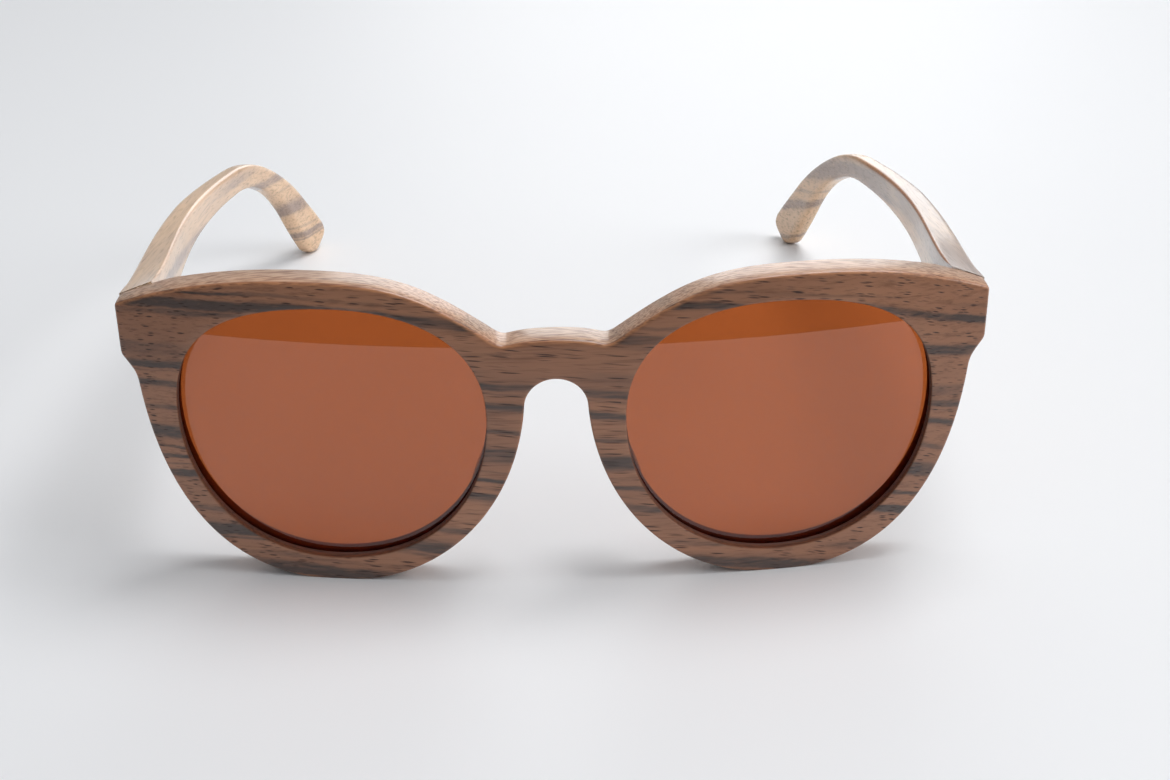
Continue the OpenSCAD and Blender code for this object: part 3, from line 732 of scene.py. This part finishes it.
# Growth layers: heights of the waves in metres, and the tilt of the layers along and across
WAVE, RIPPLE, TILT_ALONG, TILT_ACROSS = 0.0042, 0.0011, 0.085, 0.3
# Uneven widths: cells for each stripe, octaves, and stripes by which they shift
UNEVEN_CELLS, UNEVEN_DETAIL, UNEVEN_SHIFT = 0.55, 1, 2.4
# Stops of the broad stripes and of the thin ones between them, which are closer by a factor
BROAD_STOPS = ((0.6, 0), (0.8, 0.25), (0.92, 0.85), (1.0, 1))
THIN_STOPS = ((0.55, 0), (0.8, 0.35), (0.95, 0.9))
THIN_CLOSER = 1.83
# Gain and offset of noises that fade the thin stripes, the stripes' fibres and the ground's two tones
PRESENCE_GAIN, STREAK_GAIN, CLOUD_GAIN, PATCH_GAIN = (4, -1.6), (1.4, 0.3), (1.6, -0.3), 2.0
FIBRE_STOPS = ((0.3, (0.5, 0.45, 0.42)), (0.5, 0.95), (0.7, 1))
STRIPE_SHARE, FIBRE_SHARE, PORE_SHARE = 0.92, 0.75, 0.92
# Pores: cells for each metre, radius and sharpness in a cell, and how many cells have one
PORE_CELLS, PORE_R, PORE_SHARP, PORE_RIPPLE = (170, 2700, 2700), 0.42, 4.5, 0.25
PORE_LEFT_OUT, PORE_PICK, PORE_COLOUR = 0.35, 2.2, (0.04, 0.013, 0.008)
# Roughness of the lacquer, and what fibres and pores add to it; height of the fibres beside a pore's depth
SATIN, FIBRE_ROUGH, PORE_ROUGH, FIBRE_HEIGHT = 0.3, 0.16, 0.3, 0.5
FULL_TURN = 2 * math.pi

# %% A node group for the grain
grain = bpy.data.node_groups.new("striped_grain", "ShaderNodeTree")
for direction, kind, names in (("INPUT", "NodeSocketVector", ("Vector",)),
                               ("INPUT", "NodeSocketFloat", ("Spacing", "Pores")),
                               ("INPUT", "NodeSocketColor", ("Light Wood", "Dark Wood", "Stripe")),
                               ("OUTPUT", "NodeSocketColor", ("Color",)),
                               ("OUTPUT", "NodeSocketFloat", ("Roughness", "Height"))):
    for name in names:
        grain.interface.new_socket(name, in_out=direction, socket_type=kind)
nodes = Nodes(grain)
given, result = nodes.add("NodeGroupInput").outputs, nodes.add("NodeGroupOutput").inputs
noise = {name: nodes.noise(given["Vector"], *values) for name, values in NOISES.items()}

# Growth layers: heights across the grain, waved a little and tilted, so that they come out on every face
split = nodes.add("ShaderNodeSeparateXYZ")
nodes.feed(split.inputs[0], given["Vector"])
x, y, z = split.outputs
wave, ripple = (nodes.math("MULTIPLY", nodes.math("SUBTRACT", noise[name], 0.5), height)
                for name, height in (("wave", WAVE), ("ripple", RIPPLE)))
tilt = nodes.math("ADD", nodes.math("MULTIPLY", x, TILT_ALONG), nodes.math("MULTIPLY", y, TILT_ACROSS))
even_layer = nodes.math("ADD", nodes.math("ADD", z, tilt), wave)
step = nodes.math("DIVIDE", nodes.math("ADD", even_layer, ripple), given["Spacing"])
uneven = nodes.add("ShaderNodeTexNoise", noise_dimensions="1D")
nodes.fill(uneven.inputs, {"W": step, "Scale": UNEVEN_CELLS, "Detail": UNEVEN_DETAIL})
phase = nodes.math("ADD", step, nodes.math("MULTIPLY", uneven.outputs["Fac"], UNEVEN_SHIFT))
swing = nodes.math("SINE", nodes.math("MULTIPLY", phase, FULL_TURN))
broad = nodes.ramp(nodes.math("MULTIPLY_ADD", swing, 0.5, 0.5), *BROAD_STOPS)
thin_swing = nodes.math("SINE", nodes.math("MULTIPLY", phase, THIN_CLOSER * FULL_TURN))
here_and_there = nodes.math("MULTIPLY_ADD", noise["presence"], *PRESENCE_GAIN, clamp=True)
thin = nodes.math("MULTIPLY", nodes.ramp(thin_swing, *THIN_STOPS), here_and_there)
patchy = nodes.math("MULTIPLY", nodes.math("MAXIMUM", broad, thin),
                    nodes.math("MULTIPLY", noise["patch"], PATCH_GAIN))
streaky = nodes.math("MULTIPLY_ADD", noise["streak"], *STREAK_GAIN)
striped = nodes.math("MULTIPLY", patchy, streaky, clamp=True)

# Pores follow the layers: some cells of a stretched cell pattern have a dark middle
layered = nodes.add("ShaderNodeCombineXYZ")
nodes.fill(layered.inputs, {"X": x, "Y": y, "Z": nodes.math("MULTIPLY_ADD", ripple, PORE_RIPPLE, even_layer)})
cells = nodes.add("ShaderNodeTexVoronoi")
nodes.fill(cells.inputs, {"Vector": nodes.stretched(layered.outputs[0], PORE_CELLS), "Scale": 1})
inside = nodes.math("SUBTRACT", PORE_R, cells.outputs["Distance"], clamp=True)
near = nodes.math("MULTIPLY", inside, PORE_SHARP, clamp=True)
pick = nodes.add("ShaderNodeSeparateColor")
nodes.feed(pick.inputs[0], cells.outputs["Color"])
kept = nodes.math("SUBTRACT", pick.outputs[0], PORE_LEFT_OUT, clamp=True)
chosen = nodes.math("MULTIPLY", kept, PORE_PICK, clamp=True)
pore = nodes.math("MULTIPLY", nodes.math("MULTIPLY", near, chosen, clamp=True), given["Pores"])

# Colour, roughness and height
clouded = nodes.math("MULTIPLY_ADD", noise["cloud"], *CLOUD_GAIN)
ground = nodes.mix(clouded, given["Dark Wood"], given["Light Wood"])
with_stripes = nodes.mix(nodes.math("MULTIPLY", striped, STRIPE_SHARE), ground, given["Stripe"])
fibred = nodes.mix(FIBRE_SHARE, with_stripes, nodes.ramp(noise["fibre"], *FIBRE_STOPS), "MULTIPLY")
rough = nodes.math("ADD", nodes.math("MULTIPLY", noise["fibre"], FIBRE_ROUGH),
                   nodes.math("MULTIPLY", pore, PORE_ROUGH))
nodes.fill(result, {
    "Color": nodes.mix(nodes.math("MULTIPLY", pore, PORE_SHARE), fibred, PORE_COLOUR),
    "Roughness": nodes.math("ADD", rough, SATIN, clamp=True),
    "Height": nodes.math("SUBTRACT", nodes.math("MULTIPLY", noise["fibre"], FIBRE_HEIGHT), pore),
})
print("grain group with", len(grain.nodes), "nodes")

# %% [markdown]
# ## Three woods from one pattern
# The front's grain runs across the face, and a temple's along the temple, so its material turns it.
# Masks on the mesh change the tone: the sawn edge of the board is paler, most on the tops, where the paleness
# is painted sheen;
# sanded corners are worn through to warmer wood, and the wall round each lens is painted dark as shade and
# has no lacquer.

# %% Wood materials
BROWN = {"Light Wood": (0.5, 0.23, 0.124), "Dark Wood": (0.325, 0.143, 0.078),
         "Stripe": (0.068, 0.051, 0.047), "Pores": 1.0}
# The temples' tones are partly a paler wood and partly painted light, raised to stand in for the sheen and
# the light from the right on them
PALE_AND_LIT = {"Light Wood": (0.92, 0.62, 0.38), "Dark Wood": (0.68, 0.44, 0.265),
        "Stripe": (0.36, 0.25, 0.2), "Pores": 0.25}
BROWN_COAT, PALE_COAT, BROWN_SPACING, PALE_SPACING = 0.5, 0.85, 0.0066, 0.0115
# Masks of the mesh, each with its strength and its two tones, which specks along the front's grain mix
# The sawn edge's pale tones are partly painted sheen on the tops
EDGE_TONES = (("sawn_sheen", 0.75, (0.29, 0.145, 0.085), (0.66, 0.435, 0.295)),
              ("eased", 0.85, (0.24, 0.09, 0.035), (0.50, 0.21, 0.085)),
              # The wall round each lens takes dark tones as painted shade
              ("shaded_wall", 0.9, (0.08, 0.026, 0.011), (0.18, 0.06, 0.025)))
SPECK_CELLS, SPECK_DETAIL, SPECK_DEEP, SPECK_BRIGHT = (280, 2900, 2900), 3, 0.38, 0.56
WOOD_BUMP = (0.5, 0.12 * MM)
LACQUER = {"Sheen Weight": 0.05, "Sheen Roughness": 0.3, "Coat Roughness": 0.2}


def new_material(name):
    """A material, the sockets of its Principled shader, and the helpers for its node tree."""
    material = bpy.data.materials.new(name)
    material.use_nodes = True
    return material, material.node_tree.nodes["Principled BSDF"].inputs, Nodes(material.node_tree)


def wood(name, turn, offset, spacing, palette, coat, edges):
    """Principled wood: the grain group on Object coordinates, turned to the piece, under satin lacquer."""
    material, shader, nodes = new_material(name)
    spot = nodes.spot()
    mapping = nodes.add("ShaderNodeMapping", vector_type="POINT")
    nodes.fill(mapping.inputs, {"Vector": spot, "Rotation": turn, "Location": offset})
    group = nodes.add("ShaderNodeGroup", node_tree=grain)
    nodes.fill(group.inputs, {"Vector": mapping.outputs[0], "Spacing": spacing} | palette)
    colour = group.outputs["Color"]
    speck = nodes.noise(spot, SPECK_CELLS, SPECK_DETAIL)
    for mask_name, strength, deep, bright in EDGE_TONES:
        if mask_name in edges:
            mask = nodes.add("ShaderNodeAttribute", attribute_name=mask_name).outputs["Fac"]
            tone = nodes.ramp(speck, (SPECK_DEEP, deep), (SPECK_BRIGHT, bright))
            colour = nodes.mix(nodes.math("MULTIPLY", mask, strength), colour, tone)
    # Where the last mask is full, on the wall round each lens with its painted shade or on a worn corner, the
    # wood is rough and has no coat
    nodes.fill(shader, {
        "Base Color": colour,
        "Roughness": nodes.math("MAXIMUM", group.outputs["Roughness"], mask),
        "Coat Weight": nodes.math("MULTIPLY_ADD", mask, -coat, coat),
        "Normal": nodes.bump(*WOOD_BUMP, group.outputs["Height"]),
    } | LACQUER)
    return material


# A temple's pattern is turned by a quarter about the upright and tipped a little
ALONG_TEMPLE = (0.1, 0, -math.pi / 2)
front_wood = wood("front_wood", (0, 0, 0), (0.013, 0, 0.004), BROWN_SPACING, BROWN, BROWN_COAT,
                  ("sawn_sheen", "eased", "shaded_wall"))
front.data.materials.append(front_wood)
for word, offset in (("right", (0.31, 0.02, 0.05)), ("left", (0.87, 0.11, 0.083))):
    temple_wood = wood("temple_wood_" + word, ALONG_TEMPLE, offset, PALE_SPACING, PALE_AND_LIT, PALE_COAT, ("eased",))
    temples[word].data.materials.append(temple_wood)
    pads[word].data.materials.append(front_wood)
print("wood on front, temples and pads")

# %% [markdown]
# ## Lenses and steel
# The lenses are clear plastic with a copper dye. A clear, tinted, refracting shader on a closed body shows
# the table through it and mirrors the table's near half in its lower part. The hinges are small stamped
# steel pieces: fine noise stretched across them gives the brushed look, in tone, roughness and bump.

# %% Lens materials
LENS_TINT, TINT_DRIFT, DYE_CELLS = (0.385, 0.092, 0.021), 0.04, 18
LENS_SURFACE, GROUND_SURFACE = {"Roughness": 0, "Transmission Weight": 1, "IOR": 1.67}, {"Roughness": 0.85}
GROUND_TONES, GRIT_CELLS = ((0.02, 0.007, 0.004), (0.05, 0.018, 0.01)), 3000
LOW_STOP, HIGH_STOP = 0.3, 0.7


def tinted(colour, factor):
    """A colour times a factor."""
    return tuple(factor * c for c in colour)


def mottled(name, cells, low, high, surface):
    """A material whose colour drifts between two tones by even noise of so many cells for each metre."""
    material, shader, nodes = new_material(name)
    drift = nodes.noise(nodes.spot(), (cells, cells, cells))
    nodes.fill(shader, {"Base Color": nodes.ramp(drift, (LOW_STOP, low), (HIGH_STOP, high))} | surface)
    return material


lens_finish = mottled("copper_lens", DYE_CELLS, tinted(LENS_TINT, 1 - TINT_DRIFT),
                      tinted(LENS_TINT, 1 + TINT_DRIFT), LENS_SURFACE)
# The edge in the groove is ground matt, so it lets no light through
edge_finish = mottled("ground_lens_edge", GRIT_CELLS, *GROUND_TONES, GROUND_SURFACE)
for lens in lenses.values():
    lens.data.materials.append(lens_finish)
    lens.data.materials.append(edge_finish)
print("lenses finished")

# %% Steel materials
HINGE_TONE, HINGE_CELLS = (0.62, 0.61, 0.585), (900, 900, 6000)
SCREW_TONE, SCREW_CELLS = (0.7, 0.69, 0.66), (5000, 5000, 1500)
DARK_STREAK, DULL_STEEL, BRIGHT_STEEL, STREAK_DETAIL = 0.8, 0.42, 0.24, 4
STEEL_BUMP = (0.15, 0.03 * MM)


def steel(name, base, cells):
    """Principled metal with brushed streaks in its roughness and bump, and a little tone in its colour."""
    material, shader, nodes = new_material(name)
    streak = nodes.noise(nodes.spot(), cells, STREAK_DETAIL)
    nodes.fill(shader, {
        "Metallic": 1,
        "Base Color": nodes.ramp(streak, (LOW_STOP, tinted(base, DARK_STREAK)), (HIGH_STOP, base)),
        "Roughness": nodes.ramp(streak, (LOW_STOP, DULL_STEEL), (HIGH_STOP, BRIGHT_STEEL)),
        "Normal": nodes.bump(*STEEL_BUMP, streak),
    })
    return material


hinge_steel = steel("hinge_steel", HINGE_TONE, HINGE_CELLS)
screw_steel = steel("screw_steel", SCREW_TONE, SCREW_CELLS)
for node, thing in frame["nodes"].items():
    if "leaf" in node or "screw" in node:
        thing.data.materials.clear()
        thing.data.materials.append(screw_steel if "screw" in node else hinge_steel)
print("hinges and screws finished")

# %% [markdown]
# ## Stage, light and camera
# The glasses stand on a pale table. A soft lamp overhead, a little to the right and behind, gives the short
# shadows before the rims. A low window far behind is mirrored by the tops of the wood and whitens them,
# and a window on the right fills the faces.
# The near edge of the table ends just before the camera, so the upper part of each lens mirrors the dim room
# below it and not the table.

# %% Table
TABLE_NEAR, TABLE_FAR, TABLE_SIDE, NEAR_BOW, BOW_SIDE, NEAR_POINTS = -0.2, 1.5, 1.4, 0.45, 0.2, 41
TABLE_TONES, TABLE_CELLS, TABLE_SURFACE = ((0.83, 0.839, 0.858), (0.85, 0.859, 0.878)), 3, {"Roughness": 0.5}
# The near edge is a parabola in the middle, and goes on straight at both sides
edge_x = np.concatenate([[-TABLE_SIDE], np.linspace(-BOW_SIDE, BOW_SIDE, NEAR_POINTS), [TABLE_SIDE]])
curved = np.minimum(np.abs(edge_x), BOW_SIDE)
edge_y = TABLE_NEAR + curved ** 2 / (2 * NEAR_BOW) + (np.abs(edge_x) - curved) * BOW_SIDE / NEAR_BOW
corners = [(x, y, 0) for x, y in zip(edge_x.tolist(), edge_y.tolist())]
corners += [(TABLE_SIDE, TABLE_FAR, 0), (-TABLE_SIDE, TABLE_FAR, 0)]
mesh = bpy.data.meshes.new("table")
mesh.from_pydata(corners, [], [list(range(len(corners)))])
table = bpy.data.objects.new("table", mesh)
bpy.context.scene.collection.objects.link(table)
table.data.materials.append(mottled("table_paint", TABLE_CELLS, *TABLE_TONES, TABLE_SURFACE))
print("table with", len(corners), "corners")

# %% Room
ROOM_FRONT, ROOM_BACK, ROOM_TOP, ROOM_BELOW, ROOM_SEEN = 0.27, 0.3, 0.3, 0.05, 0.95
ROOM_TINT = (0.955, 0.975, 1.0)
# Directions between which the walls go from front to back, rise to the ceiling, and end at the table's height
WALLS, RISE, HORIZON = (-0.8, 0.8), (0.1, 0.9), (-0.03, 0.0)
world = bpy.data.worlds.new("room")
bpy.context.scene.world = world
world.use_nodes = True
nodes = Nodes(world.node_tree)


def ranged(value, span, low=0, high=1):
    """A value of the room's directions, mapped from a span to low..high and clamped."""
    node = nodes.add("ShaderNodeMapRange")
    nodes.fill(node.inputs, {"Value": value, "From Min": span[0], "From Max": span[1],
                             "To Min": low, "To Max": high})
    return node.outputs[0]


def between(share, a, b):
    """A strength of the room between a and b, by a share."""
    node = nodes.add("ShaderNodeMix", data_type="FLOAT")
    for socket, value in zip((node.inputs[0], node.inputs[2], node.inputs[3]), (share, a, b)):
        nodes.feed(socket, value)
    return node.outputs[0]


way = nodes.add("ShaderNodeSeparateXYZ")
nodes.feed(way.inputs[0], nodes.add("ShaderNodeTexCoord").outputs["Generated"])
walls = ranged(way.outputs["Y"], WALLS, ROOM_FRONT, ROOM_BACK)
room = between(ranged(way.outputs["Z"], RISE), walls, ROOM_TOP)
level = between(ranged(way.outputs["Z"], HORIZON), ROOM_BELOW, room)
rays = nodes.add("ShaderNodeLightPath").outputs
seen = nodes.math("MAXIMUM", rays["Is Camera Ray"], rays["Is Transmission Ray"])
nodes.fill(world.node_tree.nodes["Background"].inputs,
           {"Color": ROOM_TINT, "Strength": between(seen, level, ROOM_SEEN)})
print("room with", len(world.node_tree.nodes), "nodes")

# %% Lamps
LAMP_AIM = Vector((0, 0, 0.02))


def soft_lamp(name, eye, width, height, watts):
    """A rectangular lamp at eye that faces the glasses: its -Z axis lies along the line to them."""
    lamp = bpy.data.lights.new(name, "AREA")
    lamp.shape, lamp.size, lamp.size_y, lamp.energy = "RECTANGLE", width, height, watts
    holder = bpy.data.objects.new(name, lamp)
    bpy.context.scene.collection.objects.link(holder)
    holder.location = eye
    holder.rotation_euler = (LAMP_AIM - Vector(eye)).to_track_quat("-Z", "Y").to_euler()
    print(name, watts, "watts")


soft_lamp("ceiling", (0.34, 0.18, 1.08), 0.65, 0.65, 8.3)
soft_lamp("side_window", (1.9, -0.5, 1.05), 1.2, 1.0, 17)
soft_lamp("far_window", (0.25, 2.3, 0.66), 1.0, 1.15, 8.1)

# %% Camera at the photograph's angle
FOCAL_PX, IMAGE_W, SENSOR, CLIP_START = 1815, 1170, 36, 0.01
EYE = (-0.0010, -0.3404, 0.1677)
YAW, PITCH, ROLL = 0.02171, 0.46461, -0.01014
forward = np.array([math.sin(YAW) * math.cos(PITCH), math.cos(YAW) * math.cos(PITCH), -math.sin(PITCH)])
level_right = np.array([math.cos(YAW), -math.sin(YAW), 0])
level_up = np.cross(level_right, forward)
pose = np.eye(4)
pose[:3, 0] = level_right * math.cos(ROLL) + level_up * math.sin(ROLL)
pose[:3, 1] = -level_right * math.sin(ROLL) + level_up * math.cos(ROLL)
pose[:3, 2] = -forward
pose[:3, 3] = EYE
camera = bpy.data.objects.new("camera", bpy.data.cameras.new("camera"))
bpy.context.scene.collection.objects.link(camera)
camera.data.sensor_width = SENSOR
camera.data.lens = FOCAL_PX / IMAGE_W * SENSOR
camera.data.clip_start = CLIP_START
camera.matrix_world = Matrix(pose.tolist())
bpy.context.scene.camera = camera
bpy.context.scene.view_settings.view_transform = "Standard"
print("camera of", round(camera.data.lens, 1), "mm")
